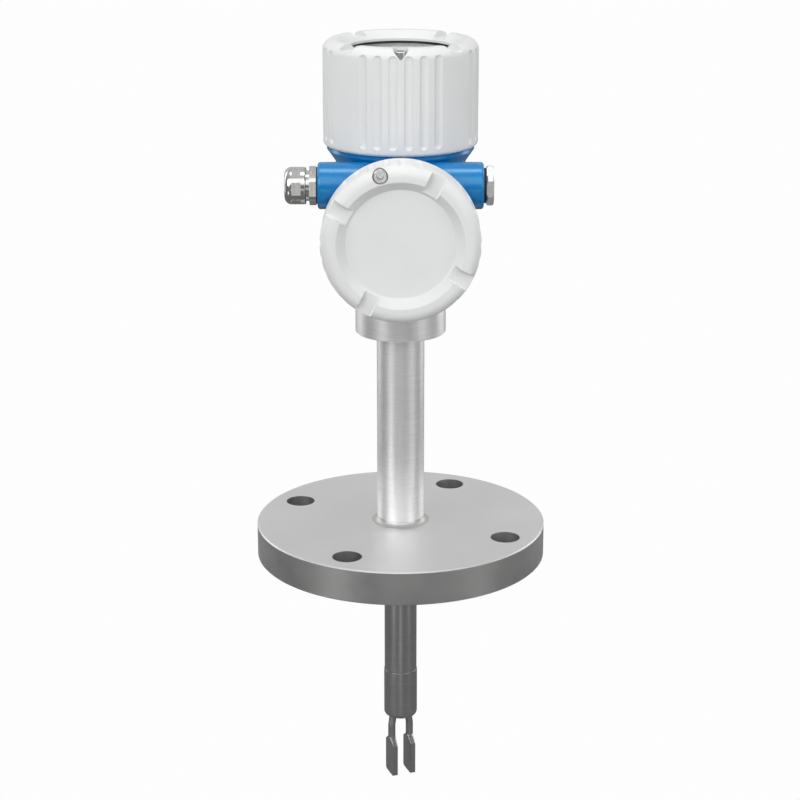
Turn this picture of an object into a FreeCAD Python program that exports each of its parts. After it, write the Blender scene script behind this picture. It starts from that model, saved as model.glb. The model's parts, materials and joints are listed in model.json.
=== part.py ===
import FreeCAD, Part
import math
import os
from FreeCAD import Placement, Rotation, Vector

# Tuning fork level switch: a flanged process part with a vibrating fork below,
# a spacer tube above, and a dual compartment housing with two screwed covers.
# Millimetres. The origin is the centre of the flange's underside, level with the
# mouths of the bolt holes; the raised sealing face stands below it. +Z is up.

# Process flange: three inch, class 150, raised face
FLANGE_OD = 190.5
FLANGE_THICKNESS = 23.9
RAISED_FACE_MARGIN = 31.75
RAISED_FACE_HEIGHT = 1.6
BOLT_MARGIN = 19.05
BOLT_HOLE = 19.1
BOLT_COUNT = 4
FLANGE_EDGE = 0.8
# The bolt holes and the fork are turned by these angles against the housing
FLANGE_TURN = 18.4
FORK_TURN = 20.0

# Spacer tube and its weld on the flange
SPACER_OD = 31.0
SPACER_WALL = 3.0
SPACER_LENGTH = 130.5
UPPER_WELD_LEG = 3.4
TUBE_SEAM = 0.05

# Extension pipe below the flange, welded into a recess of the sealing face
PIPE_OD = 21.7
PIPE_WALL = 2.4
PIPE_LENGTH = 84.6
LOWER_WELD_LEG = 2.0
WELD_RECESS_MARGIN = 0.4

# Sensor head and fork, one piece with its diaphragm
HEAD_OD = 22.4
HEAD_LENGTH = 34.2
HEAD_EDGE = 3.4
HEAD_WALL = 2.7
DIAPHRAGM = 1.8
TINE_LENGTH = 43.6
TINE_SPACING = 12.8
ROOT_SPACING = 10.6
ROOT_COVE = 1.4
STEM_DIAMETER = 5.0
STEM_BEND_DEPTH = 7.5
STEM_LENGTH = 16.2
SHOULDER_LENGTH = 4.5
PADDLE_WIDTH = 16.5
PADDLE_THICKNESS = 3.2
PADDLE_EDGE = 0.7
PADDLE_CORNER = 3.0

# Drive inside the sensor head
CRYSTAL_COUNT = 6
CRYSTAL_GAP = 1.8
CRYSTAL_THICKNESS = 1.6
STACK_NUT_HEIGHT = 6.0
STACK_NUT_SOCKET = 4.5
SEAT_CLEARANCE = 0.05
FEEDTHROUGH_HEIGHT = 8.0
FEEDTHROUGH_DROP = 2.0
WIRE_DIAMETER = 1.6
WIRE_SPREAD = 5.0

# Adapter collar that carries the housing
COLLAR_OD = 58.5
COLLAR_HEIGHT = 19.6
COLLAR_SOCKET = 10.0
COLLAR_EDGE = 0.6
SPIGOT_OD = 44.0
SPIGOT_BORE = 24.0
SPIGOT_TIP = 2.2
CONNECTOR_HEIGHT = 5.0
CONNECTOR_DROP = 1.0
TURN_CLEARANCE = 0.05
TURN_GAP = 0.3
NECK_BORE_HEIGHT = 13.7
NECK_GROOVE_RISE = 3.0
NECK_GROOVE_HEIGHT = 2.2
NECK_GROOVE_DEPTH = 1.8
NECK_SEAL_SECTION = 1.5
SNAP_RING_THICKNESS = 1.5
SNAP_RING_WIDTH = 3.6
SNAP_GROOVE_DEPTH = 1.2

# Screwed covers, the same casting in two heights
COVER_OD = 97.5
UPPER_COVER_HEIGHT = 66.0
FRONT_COVER_HEIGHT = 28.0
COVER_FOOT_EDGE = 2.5
COVER_CREST_EDGE = 6.8
COVER_WALL = 4.95
COVER_LIP_GAP = 0.3
THREAD_CLEARANCE = 0.3
COVER_THREAD_LENGTH = 13.0
CAVITY_WALL = 8.75
CREST_WIDTH = 9.75
CREST_INNER_EDGE = 1.0
RECESS_SLOPE = 5.5
FRONT_RECESS_DEPTH = 5.8
RECESS_EDGE = 0.8
FACE_WALL = 4.2
NOTCH_WIDTH = 10.5
NOTCH_DEPTH = 4.2
NOTCH_CORNER = 1.2
NOTCH_COUNT = 4
FLUTES_PER_GROUP = 6
FLUTE_PITCH = 11.25
FLUTE_RADIUS = 3.5
FLUTE_DEPTH = 1.4
FLUTE_FOOT = 7.0
FLUTE_HEAD = 6.4
UPPER_COVER_CLOCK = 270.0
FRONT_COVER_CLOCK = 106.0
LOCK_SCREW_INSET = 4.75
LOCK_HEAD_DIAMETER = 8.6
LOCK_HEAD_HEIGHT = 5.0
LOCK_HEAD_EDGE = 0.6
LOCK_POCKET_CLEARANCE = 0.45
LOCK_POCKET_DEPTH = 6.6
LOCK_SHANK_DIAMETER = 4.0
LOCK_SHANK_LENGTH = 7.0
LOCK_SOCKET_SIZE = 4.0
LOCK_SOCKET_DEPTH = 2.6
SCREW_SEAT_CLEARANCE = 0.1
COVER_SEAL_RISE = 2.2
COVER_SEAL_GROOVE_HEIGHT = 3.0
COVER_SEAL_GROOVE_DEPTH = 2.4
COVER_SEAL_SECTION = 1.9

# Sight window in the upper cover
UPPER_RECESS_DEPTH = 4.4
WINDOW_SLOPE = 1.0
WINDOW_RECESS_DEPTH = 4.7
WINDOW_LEDGE_DEPTH = 6.2
GLASS_SEAT_WIDTH = 3.0
GLASS_CLEARANCE = 0.1
GLASS_THICKNESS = 8.0
GLASS_GASKET = 0.8
GLASS_NUT_LIP = 0.5
GLASS_NUT_HEIGHT = 4.0
GLASS_NUT_INSET = 2.1
GLASS_NUT_SLOT = 4.0

# Housing casting
BOWL_START = 15.0
BOWL_FLARE = 19.0
BOWL_WALL = 3.5
BOWL_INSET = 5.5
LIP_INSET = 2.25
LIP_RISE = 102.4
LIP_HEIGHT = 2.2
LIP_TAPER = 8.0
MOUTH_WALL = 4.0
MALE_THREAD_LENGTH = 12.3
FRONT_AXIS_DROP = 45.7
FRONT_LIP_REACH = 10.95
PARTITION_SET_BACK = 6.5
PARTITION_WALL = 4.0
CHAMBER_FLOOR_RISE = 43.7
CHAMBER_LEDGE_DROP = 6.7
NECK_WALL = 3.25

# Cable entries, one each side, on a cross tube behind the front cover
ENTRY_SET_BACK = 17.7
ENTRY_DROP = 9.9
ENTRY_OVERHANG = 2.25
ENTRY_TUBE_OD = 29.0
ENTRY_TUBE_EDGE = 1.8
ENTRY_BORE = 20.0
ENTRY_BORE_DEPTH = 31.0
ENTRY_THREAD_LENGTH = 9.0

# Electronics in the upper chamber
INSERT_CLEARANCE = 0.3
CUP_WALL = 2.0
CUP_RIM_THICKNESS = 2.5
CUP_RIM_CLEARANCE = 0.6
CUP_SCREW_X = 10.0
POST_DIAMETER = 6.0
POST_INSET = 7.5
POST_COUNT = 3
BOARD_THICKNESS = 1.6
POWER_BOARD_HEIGHT = 16.0
SCREW_HEAD = 5.0
SCREW_HEAD_HEIGHT = 1.8
SCREW_SHANK = 2.5
SCREW_LENGTH = 6.0
RELAY_SIZE = 15.0
RELAY_HEIGHT = 14.0
CAPACITOR_DIAMETER = 8.0
CAPACITOR_HEIGHT = 12.0
RIBBON_WIDTH = 20.0
RIBBON_THICKNESS = 1.0
RIBBON_Y = 8.0
TOWER_GAP = 3.5
TOWER_WALL = 2.0
TOWER_EDGE = 1.5
TOWER_HEADROOM = 3.0
MAIN_BOARD_DROP = 14.4
SCREEN_SIDE_INSET = 13.0
SCREEN_BACK_INSET = 13.0
SCREEN_FRONT_INSET = 31.0
SCREEN_THICKNESS = 2.8
SCREEN_OVERLAP = 2.0
SCREEN_GAP = 0.2
BUTTON_COUNT = 3
BUTTON_PITCH = 12.0
BUTTON_DIAMETER = 5.0
BUTTON_HEIGHT = 1.0
BUTTON_TRAVEL = 0.6
BUTTON_FLANGE = 7.4
BUTTON_FLANGE_THICKNESS = 1.4
BUTTON_CLEARANCE = 0.3
BUTTON_STEM = 3.4
BUTTON_OFFSET = 8.5
SLIDER_COUNT = 2
SLIDER_PITCH = 8.0
SLIDER_TRAVEL = 2.0
SLIDER_SIZE = 1.4
SLIDER_RISE = 1.0
SLIDER_DEPTH = 1.4
SLIDER_CLEARANCE = 0.3
SLIDER_BLOCK_LENGTH = 16.0
SLIDER_BLOCK_WIDTH = 6.4
SLIDER_BLOCK_RISE = 0.3
SLIDER_OFFSET = 12.5

# Terminals in the front chamber
PARTITION_PLUG_RAISE = 9.0
PARTITION_PLUG_DIAMETER = 12.0
PARTITION_PLUG_FLANGE = 16.0
PARTITION_PLUG_RISE = 5.0
PARTITION_PLUG_EDGE = 1.0
TERMINAL_COUNT = 4
TERMINAL_SIDE_ROOM = 16.5
TERMINAL_END_ROOM = 6.75
TERMINAL_HEIGHT = 20.0
TERMINAL_DEPTH = 14.0
TERMINAL_DROP = 25.0
TERMINAL_WELL = 5.4
TERMINAL_WELL_DEPTH = 3.6
TERMINAL_SCREW_HEIGHT = 2.4
TERMINAL_WIRE_HOLE = 3.6
TERMINAL_WIRE_DEPTH = 6.0
SLOT_WIDTH = 0.9
SLOT_DEPTH = 0.9
INNER_GROUND_INSET = 10.5
INNER_GROUND_RAISE = 5.0
GROUND_BOSS_DIAMETER = 11.0
GROUND_BOSS_RISE = 4.0
GROUND_CLAMP_SIZE = 9.0
GROUND_CLAMP_THICKNESS = 1.4
GROUND_HEAD_DIAMETER = 7.0
GROUND_HEAD_HEIGHT = 3.0
GROUND_SHANK_DIAMETER = 4.0
GROUND_SHANK_LENGTH = 3.4
OUTER_GROUND_RISE = 5.0

# Set screw that stops the housing from turning
NECK_SCREW_DIAMETER = 5.0
NECK_SCREW_RISE = 10.2
NECK_SCREW_PROUD = 0.8

# Cable gland, left
GLAND_WASHER_THICKNESS = 0.8
GLAND_WASHER_OD = 22.6
GLAND_HEX = 22.4
GLAND_HEX_CORNER = 24.2
GLAND_HEX_LENGTH = 4.2
GLAND_NECK_LENGTH = 2.1
GLAND_THREAD_OD = 18.8
GLAND_THREAD_LENGTH = 9.5
GLAND_CABLE_BORE = 12.0
GLAND_CAGE_BORE = 14.4
GLAND_CAGE_DEPTH = 6.6
CAP_OD = 23.0
CAP_HEX = 21.6
CAP_LENGTH = 13.2
CAP_EDGE = 4.2
CAP_INNER_EDGE = 1.0
CAP_HEX_START = 3.0
CAP_HEX_LENGTH = 5.6
CAP_THREAD_DEPTH = 8.4
CAP_POCKET_BORE = 16.6
CAP_POCKET_DEPTH = 10.4
CAP_MOUTH = 11.6
CAP_MOUTH_EDGE = 0.5
SEAL_INSERT_BORE = 9.0
SEAL_INSERT_LENGTH = 8.0
CLAMP_RING_BORE = 11.8
CLAMP_RING_THICKNESS = 1.4

# Blind plug, right
PLUG_SEAL_OD = 21.6
PLUG_SEAL_THICKNESS = 1.5
PLUG_HEAD_HEX = 22.4
PLUG_HEAD_CORNER = 24.5
PLUG_HEAD_LENGTH = 4.5
PLUG_HEAD_EDGE = 0.8
PLUG_BORE = 14.0
PLUG_FLOOR = 3.0

# Widths that follow from the sizes above
BOLT_CIRCLE = FLANGE_OD - 2 * BOLT_MARGIN
RAISED_FACE_OD = FLANGE_OD - 2 * RAISED_FACE_MARGIN
PIPE_BORE = PIPE_OD - 2 * PIPE_WALL
HEAD_BORE = HEAD_OD - 2 * HEAD_WALL
CRYSTAL_DIAMETER = HEAD_BORE - 2 * CRYSTAL_GAP
COVER_THREAD_BORE = COVER_OD - 2 * COVER_WALL
COVER_CAVITY = COVER_OD - 2 * CAVITY_WALL
CREST_BORE = COVER_OD - 2 * CREST_WIDTH
RECESS_DIAMETER = CREST_BORE - 2 * RECESS_SLOPE
LOCK_SCREW_CIRCLE = COVER_OD - 2 * LOCK_SCREW_INSET
WINDOW_BORE = RECESS_DIAMETER - 2 * WINDOW_SLOPE
GLASS_SEAT = WINDOW_BORE + 2 * GLASS_SEAT_WIDTH
GLASS_NUT_BORE = WINDOW_BORE - 2 * GLASS_NUT_LIP
GLASS_NUT_OD = COVER_CAVITY - 2 * GLASS_NUT_INSET
MALE_THREAD_OD = COVER_THREAD_BORE - 2 * THREAD_CLEARANCE
LIP_OD = COVER_OD - 2 * LIP_INSET
BOWL_OD = LIP_OD - 2 * BOWL_INSET
CHAMBER_BORE = BOWL_OD - 2 * BOWL_WALL
MOUTH_BORE = MALE_THREAD_OD - 2 * MOUTH_WALL
NECK_OD = COLLAR_OD
WELL_BORE = NECK_OD - 2 * NECK_WALL
TOWER_OD = MOUTH_BORE - 2 * TOWER_GAP
POST_CIRCLE = TOWER_OD - 2 * POST_INSET
SCREEN_WIDTH = TOWER_OD - 2 * SCREEN_SIDE_INSET
SCREEN_DEPTH = TOWER_OD - SCREEN_BACK_INSET - SCREEN_FRONT_INSET
TERMINAL_WIDTH = CHAMBER_BORE - 2 * TERMINAL_SIDE_ROOM
TERMINAL_PITCH = (TERMINAL_WIDTH - 2 * TERMINAL_END_ROOM) / (TERMINAL_COUNT - 1)

# Depths that follow: how far the parts stand before and behind the main axis
PARTITION_Y = PARTITION_SET_BACK - CHAMBER_BORE / 2
CHAMBER_FRONT_Y = PARTITION_Y + PARTITION_WALL
FRONT_LIP_Y = -COVER_OD / 2 - FRONT_LIP_REACH
FRONT_COVER_Y = FRONT_LIP_Y - COVER_LIP_GAP
ENTRY_Y = FRONT_LIP_Y + ENTRY_SET_BACK
ENTRY_REACH = COVER_OD / 2 + ENTRY_OVERHANG
SCREEN_BACK_Y = TOWER_OD / 2 - SCREEN_BACK_INSET
SCREEN_Y = SCREEN_BACK_Y - SCREEN_DEPTH / 2
BUTTON_Y = SCREEN_BACK_Y - SCREEN_DEPTH - BUTTON_OFFSET
SLIDER_Y = BUTTON_Y - SLIDER_OFFSET
INNER_GROUND_X = CHAMBER_BORE / 2 - INNER_GROUND_INSET

# Heights that follow
RAISED_FACE_Z = -RAISED_FACE_HEIGHT
FLANGE_TOP_Z = FLANGE_THICKNESS - RAISED_FACE_HEIGHT
COLLAR_Z = FLANGE_TOP_Z + SPACER_LENGTH
COLLAR_TOP_Z = COLLAR_Z + COLLAR_HEIGHT
NECK_Z = COLLAR_TOP_Z + TURN_GAP
SHOULDER_Z = NECK_Z + NECK_BORE_HEIGHT
HEAD_Z = RAISED_FACE_Z - PIPE_LENGTH
HEAD_BOTTOM_Z = HEAD_Z - HEAD_LENGTH
DIAPHRAGM_Z = HEAD_BOTTOM_Z + DIAPHRAGM
UPPER_LIP_Z = NECK_Z + LIP_RISE
UPPER_COVER_Z = UPPER_LIP_Z + COVER_LIP_GAP
MALE_THREAD_TOP_Z = UPPER_LIP_Z + MALE_THREAD_LENGTH
CHAMBER_FLOOR_Z = NECK_Z + CHAMBER_FLOOR_RISE
CHAMBER_LEDGE_Z = UPPER_LIP_Z - CHAMBER_LEDGE_DROP
CUP_RIM_Z = CHAMBER_LEDGE_Z + CUP_RIM_THICKNESS
FRONT_AXIS_Z = UPPER_LIP_Z - FRONT_AXIS_DROP
ENTRY_Z = FRONT_AXIS_Z + CHAMBER_BORE / 2 - ENTRY_DROP
GLASS_TOP = UPPER_COVER_HEIGHT - WINDOW_LEDGE_DEPTH - GLASS_GASKET
GLASS_BOTTOM = GLASS_TOP - GLASS_THICKNESS
GLASS_NUT_BOTTOM = GLASS_BOTTOM - GLASS_NUT_HEIGHT
TOWER_TOP_Z = UPPER_COVER_Z + GLASS_NUT_BOTTOM - TOWER_HEADROOM
TOWER_CEILING_Z = TOWER_TOP_Z - TOWER_WALL
MAIN_BOARD_TOP_Z = TOWER_CEILING_Z - MAIN_BOARD_DROP
POWER_BOARD_Z = CHAMBER_FLOOR_Z + CUP_WALL + POWER_BOARD_HEIGHT
PARTITION_PLUG_Z = FRONT_AXIS_Z + PARTITION_PLUG_RAISE
TERMINAL_BASE_Z = FRONT_AXIS_Z - TERMINAL_DROP
INNER_GROUND_Z = FRONT_AXIS_Z + INNER_GROUND_RAISE
SPIGOT_TOP_Z = SHOULDER_Z + TURN_GAP + SNAP_RING_THICKNESS + SPIGOT_TIP
STACK_TOP_Z = DIAPHRAGM_Z + CRYSTAL_COUNT * CRYSTAL_THICKNESS

# Places: the upper cover stands on the bowl, the front cover looks along -Y,
# the cable gland along -X and the blind plug along +X
UP = Rotation()
FORWARD = Rotation(Vector(1, 0, 0), 90)
BACKWARD = Rotation(Vector(1, 0, 0), -90)
LEFTWARD = Rotation(Vector(0, 1, 0), -90)
RIGHTWARD = Rotation(Vector(0, 1, 0), 90)
UPPER_COVER_PLACE = Placement(Vector(0, 0, UPPER_COVER_Z), UP)
FRONT_COVER_PLACE = Placement(Vector(0, FRONT_COVER_Y, FRONT_AXIS_Z), FORWARD)
GLAND_PLACE = Placement(Vector(-ENTRY_REACH, ENTRY_Y, ENTRY_Z), LEFTWARD)
PLUG_PLACE = Placement(Vector(ENTRY_REACH, ENTRY_Y, ENTRY_Z), RIGHTWARD)
FLANGE_PLACE = Placement(Vector(0, 0, 0), Rotation(Vector(0, 0, 1), FLANGE_TURN))
FORK_PLACE = Placement(Vector(0, 0, 0), Rotation(Vector(0, 0, 1), FORK_TURN))


def placed(shape, placement):
    """A copy of the shape moved to a place."""
    moved = shape.copy()
    moved.Placement = placement.multiply(moved.Placement)
    return moved


def cylinder(diameter, bottom, top, x=0.0, y=0.0):
    """Upright cylinder between two heights."""
    return Part.makeCylinder(diameter / 2, top - bottom, Vector(x, y, bottom))


def ring(outer, inner, bottom, top):
    """Upright ring with a plain bore."""
    return cylinder(outer, bottom, top).cut(cylinder(inner, bottom - 1, top + 1))


def block(length, width, bottom, top, x=0.0, y=0.0):
    """Upright block centred on x and y."""
    corner = Vector(x - length / 2, y - width / 2, bottom)
    return Part.makeBox(length, width, top - bottom, corner)


def hexagon(across_flats, bottom, top):
    """Upright hexagonal prism."""
    radius = across_flats / 2 / math.cos(math.pi / 6)
    corners = []
    for step in range(7):
        angle = math.radians(60 * step)
        corners.append(Vector(radius * math.cos(angle), radius * math.sin(angle), bottom))
    return Part.Face(Part.makePolygon(corners)).extrude(Vector(0, 0, top - bottom))


def rounded_outline(corners):
    """Closed wire in the XZ plane; a corner is (x, z) or (x, z, radius)."""
    points = [Vector(corner[0], 0, corner[1]) for corner in corners]
    entries = []
    exits = []
    middles = []
    for index, point in enumerate(points):
        radius = corners[index][2] if len(corners[index]) > 2 else 0.0
        back = (points[index - 1] - point).normalize()
        ahead = (points[(index + 1) % len(points)] - point).normalize()
        if radius == 0.0:
            entries.append(point)
            exits.append(point)
            middles.append(None)
            continue
        half = back.getAngle(ahead) / 2
        reach = radius / math.tan(half)
        inward = (back + ahead).normalize()
        entries.append(point + back * reach)
        exits.append(point + ahead * reach)
        middles.append(point + inward * (radius / math.sin(half) - radius))
    edges = []
    for index, middle in enumerate(middles):
        if middle is not None:
            edges.append(Part.Arc(entries[index], middle, exits[index]).toShape())
        following = entries[(index + 1) % len(points)]
        if (following - exits[index]).Length > 1e-6:
            edges.append(Part.LineSegment(exits[index], following).toShape())
    return Part.Wire(edges)


def turned(corners):
    """Solid of revolution about Z from an outline of (radius, height) corners."""
    face = Part.Face(rounded_outline(corners))
    solid = face.revolve(Vector(0, 0, 0), Vector(0, 0, 1), 360)
    return solid if solid.Volume > 0 else solid.reversed()


def round_section(radius, height, x):
    """Round section in eight arcs, so that it can run on into a flat one."""
    edges = []
    stops = (-30, 30, 60, 120, 150, 210, 240, 300, 330)
    for start, end in zip(stops, stops[1:]):
        points = []
        for angle in (start, (start + end) / 2, end):
            turn = math.radians(angle)
            points.append(Vector(x + radius * math.cos(turn), radius * math.sin(turn), height))
        edges.append(Part.Arc(points[0], points[1], points[2]).toShape())
    return Part.Wire(edges)


def flat_section(width, thickness, edge_radius, height, x):
    """Flat section with rounded corners, long way along Y."""
    half_x = thickness / 2
    half_y = width / 2
    inset = edge_radius * (1 - math.sqrt(0.5))
    edges = []
    for side_x, side_y in ((1, 1), (-1, 1), (-1, -1), (1, -1)):
        on_side = Vector(x + side_x * half_x, side_y * (half_y - edge_radius), height)
        on_end = Vector(x + side_x * (half_x - edge_radius), side_y * half_y, height)
        middle = Vector(x + side_x * (half_x - inset), side_y * (half_y - inset), height)
        far_side = Vector(on_side.x, -on_side.y, height)
        far_end = Vector(2 * x - on_end.x, on_end.y, height)
        if side_x == side_y:
            edges.append(Part.LineSegment(far_side, on_side).toShape())
            edges.append(Part.Arc(on_side, middle, on_end).toShape())
            edges.append(Part.LineSegment(on_end, far_end).toShape())
        else:
            edges.append(Part.Arc(on_end, middle, on_side).toShape())
    return Part.Wire(edges)


def slotted_head(diameter, height, shank_diameter, shank_length):
    """Cheese-head screw standing on z = 0, shank below, slot on top."""
    head = cylinder(diameter, 0, height)
    shank = cylinder(shank_diameter, -shank_length, 0)
    slot = block(diameter + 2, SLOT_WIDTH, height - SLOT_DEPTH, height + 1)
    return head.fuse(shank).cut(slot).removeSplitter()


# Process part


def weld_recess_z():
    """Floor of the recess that keeps the lower weld behind the sealing face."""
    return RAISED_FACE_Z + LOWER_WELD_LEG + WELD_RECESS_MARGIN


def make_flange():
    raised_radius = RAISED_FACE_OD / 2
    radius = FLANGE_OD / 2
    body = turned([
        (0, RAISED_FACE_Z),
        (raised_radius, RAISED_FACE_Z),
        (raised_radius, 0),
        (radius - FLANGE_EDGE, 0),
        (radius, FLANGE_EDGE),
        (radius, FLANGE_TOP_Z - FLANGE_EDGE),
        (radius - FLANGE_EDGE, FLANGE_TOP_Z),
        (0, FLANGE_TOP_Z),
    ])
    recess = PIPE_OD + 2 * (LOWER_WELD_LEG + WELD_RECESS_MARGIN)
    tools = [
        cylinder(PIPE_OD + 2 * TUBE_SEAM, RAISED_FACE_Z - 1, FLANGE_TOP_Z + 1),
        cylinder(recess, RAISED_FACE_Z - 1, weld_recess_z()),
    ]
    for index in range(BOLT_COUNT):
        angle = math.radians(45 + 360 / BOLT_COUNT * index)
        x = BOLT_CIRCLE / 2 * math.cos(angle)
        y = BOLT_CIRCLE / 2 * math.sin(angle)
        tools.append(cylinder(BOLT_HOLE, -1, FLANGE_TOP_Z + 1, x, y))
    return placed(body.cut(tools), FLANGE_PLACE)


def make_spacer_tube():
    return ring(SPACER_OD, SPACER_OD - 2 * SPACER_WALL, FLANGE_TOP_Z, COLLAR_Z + COLLAR_SOCKET)


def weld_bead(tube_od, leg, seat_z, direction):
    """Weld fillet around a tube: a hollow cove on its seat."""
    radius = tube_od / 2
    corner = Vector(radius, 0, seat_z)
    out = Vector(radius + leg, 0, seat_z)
    up = Vector(radius, 0, seat_z + direction * leg)
    waist = Vector(radius + 0.38 * leg, 0, seat_z + direction * 0.38 * leg)
    edges = [
        Part.LineSegment(corner, out).toShape(),
        Part.Arc(out, waist, up).toShape(),
        Part.LineSegment(up, corner).toShape(),
    ]
    solid = Part.Face(Part.Wire(edges)).revolve(Vector(0, 0, 0), Vector(0, 0, 1), 360)
    return solid if solid.Volume > 0 else solid.reversed()


def make_extension_pipe():
    return ring(PIPE_OD, PIPE_BORE, HEAD_Z, FLANGE_TOP_Z)


def make_tine(side):
    """One tine: a round stem that leans out, then flattens into a paddle."""
    root_z = HEAD_BOTTOM_Z + DIAPHRAGM / 2
    bend_z = HEAD_BOTTOM_Z - STEM_BEND_DEPTH
    stem_z = HEAD_BOTTOM_Z - STEM_LENGTH
    paddle_z = stem_z - SHOULDER_LENGTH
    tip_z = HEAD_BOTTOM_Z - TINE_LENGTH
    root_x = side * ROOT_SPACING / 2
    tine_x = side * TINE_SPACING / 2
    radius = STEM_DIAMETER / 2
    root_end = round_section(radius, root_z, root_x)
    bend_end = round_section(radius, bend_z, tine_x)
    stem_end = round_section(radius, stem_z, tine_x)
    flat_start = flat_section(PADDLE_WIDTH, PADDLE_THICKNESS, PADDLE_EDGE, paddle_z, tine_x)
    flat_end = flat_section(PADDLE_WIDTH, PADDLE_THICKNESS, PADDLE_EDGE, tip_z, tine_x)
    root = Part.makeLoft([root_end, bend_end], True, True)
    stem = Part.makeLoft([bend_end, stem_end], True, True)
    shoulder = Part.makeLoft([stem_end, flat_start], True, True)
    paddle = Part.makeLoft([flat_start, flat_end], True, True)
    half = PADDLE_WIDTH / 2
    trim = rounded_outline([
        (-half, root_z),
        (half, root_z),
        (half, tip_z, PADDLE_CORNER),
        (-half, tip_z, PADDLE_CORNER),
    ])
    trim_face = Part.Face(trim).rotated(Vector(0, 0, 0), Vector(0, 0, 1), 90)
    limit = trim_face.extrude(Vector(side * TINE_SPACING, 0, 0))
    return root.fuse([stem, shoulder, paddle]).common(limit)


def root_cove(side):
    """Hollow-curved foot where a tine leaves the diaphragm."""
    radius = STEM_DIAMETER / 2
    seat = HEAD_BOTTOM_Z
    top = seat + DIAPHRAGM / 2
    tip = seat - ROOT_COVE
    waist = Vector(radius + 0.3 * ROOT_COVE, 0, seat - 0.3 * ROOT_COVE)
    outer_top = Vector(radius + ROOT_COVE, 0, top)
    outer = Vector(radius + ROOT_COVE, 0, seat)
    inner = Vector(radius, 0, tip)
    edges = [
        Part.LineSegment(Vector(0, 0, top), outer_top).toShape(),
        Part.LineSegment(outer_top, outer).toShape(),
        Part.Arc(outer, waist, inner).toShape(),
        Part.LineSegment(inner, Vector(0, 0, tip)).toShape(),
        Part.LineSegment(Vector(0, 0, tip), Vector(0, 0, top)).toShape(),
    ]
    foot = Part.Face(Part.Wire(edges)).revolve(Vector(0, 0, 0), Vector(0, 0, 1), 360)
    foot = foot if foot.Volume > 0 else foot.reversed()
    return foot.translated(Vector(side * ROOT_SPACING / 2, 0, 0))


def make_tuning_fork():
    radius = HEAD_OD / 2
    bore = HEAD_BORE / 2
    head = turned([
        (bore, HEAD_Z),
        (radius, HEAD_Z),
        (radius, HEAD_BOTTOM_Z, HEAD_EDGE),
        (0, HEAD_BOTTOM_Z),
        (0, DIAPHRAGM_Z),
        (bore, DIAPHRAGM_Z),
    ])
    pieces = []
    for side in (-1, 1):
        pieces.append(make_tine(side))
        pieces.append(root_cove(side))
    return placed(head.fuse(pieces).removeSplitter(), FORK_PLACE)


def make_crystal_stack():
    discs = []
    for index in range(CRYSTAL_COUNT):
        bottom = DIAPHRAGM_Z + CRYSTAL_THICKNESS * index
        discs.append(cylinder(CRYSTAL_DIAMETER, bottom, bottom + CRYSTAL_THICKNESS))
    return discs[0].fuse(discs[1:]).removeSplitter()


def wire_holes(bottom, top):
    """Two holes with a little room for the signal wires."""
    diameter = WIRE_DIAMETER + 2 * SCREW_SEAT_CLEARANCE
    return [cylinder(diameter, bottom - 1, top + 1, side * WIRE_SPREAD / 2) for side in (-1, 1)]


def make_stack_nut():
    top = STACK_TOP_Z + STACK_NUT_HEIGHT
    nut = cylinder(HEAD_BORE - 2 * SEAT_CLEARANCE, STACK_TOP_Z, top)
    socket = hexagon(STACK_NUT_SOCKET, top - STACK_NUT_HEIGHT / 2, top + 1)
    return nut.cut([socket] + wire_holes(STACK_TOP_Z, top))


def make_glass_feedthrough():
    top = FLANGE_TOP_Z - FEEDTHROUGH_DROP
    bottom = top - FEEDTHROUGH_HEIGHT
    plug = cylinder(PIPE_BORE - 2 * SEAT_CLEARANCE, bottom, top)
    return plug.cut(wire_holes(bottom, top))


def make_signal_wires():
    top = SPIGOT_TOP_Z + CONNECTOR_DROP
    return Part.makeCompound([cylinder(WIRE_DIAMETER, STACK_TOP_Z, top, side * WIRE_SPREAD / 2)
                              for side in (-1, 1)])


def make_neck_connector():
    """Insulating disc at the top of the spigot that carries the wire ends."""
    top = SPIGOT_TOP_Z - CONNECTOR_DROP
    bottom = top - CONNECTOR_HEIGHT
    disc = cylinder(SPIGOT_BORE - 2 * SEAT_CLEARANCE, bottom, top)
    return disc.cut(wire_holes(bottom, top))


def make_adapter_collar():
    radius = COLLAR_OD / 2
    spigot = SPIGOT_OD / 2
    top = SPIGOT_TOP_Z
    body = turned([
        (0, COLLAR_Z),
        (radius - COLLAR_EDGE, COLLAR_Z),
        (radius, COLLAR_Z + COLLAR_EDGE),
        (radius, COLLAR_TOP_Z - COLLAR_EDGE),
        (radius - COLLAR_EDGE, COLLAR_TOP_Z),
        (spigot, COLLAR_TOP_Z),
        (spigot, top - COLLAR_EDGE),
        (spigot - COLLAR_EDGE, top),
        (0, top),
    ])
    groove_z = COLLAR_TOP_Z + NECK_GROOVE_RISE
    snap_z = SHOULDER_Z + TURN_GAP
    socket = cylinder(SPACER_OD + 2 * TUBE_SEAM, COLLAR_Z - 1, COLLAR_Z + COLLAR_SOCKET)
    bore = cylinder(SPIGOT_BORE, COLLAR_Z, top + 1)
    seal_groove = ring(SPIGOT_OD + 2, SPIGOT_OD - 2 * NECK_GROOVE_DEPTH, groove_z,
                       groove_z + NECK_GROOVE_HEIGHT)
    snap_groove = ring(SPIGOT_OD + 2, SPIGOT_OD - 2 * SNAP_GROOVE_DEPTH, snap_z,
                       snap_z + SNAP_RING_THICKNESS)
    return body.cut([socket, bore, seal_groove, snap_groove])


def make_neck_seal():
    groove_radius = SPIGOT_OD / 2 - NECK_GROOVE_DEPTH
    middle = COLLAR_TOP_Z + NECK_GROOVE_RISE + NECK_GROOVE_HEIGHT / 2
    return Part.makeTorus(groove_radius + NECK_SEAL_SECTION / 2, NECK_SEAL_SECTION / 2,
                          Vector(0, 0, middle))


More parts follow.
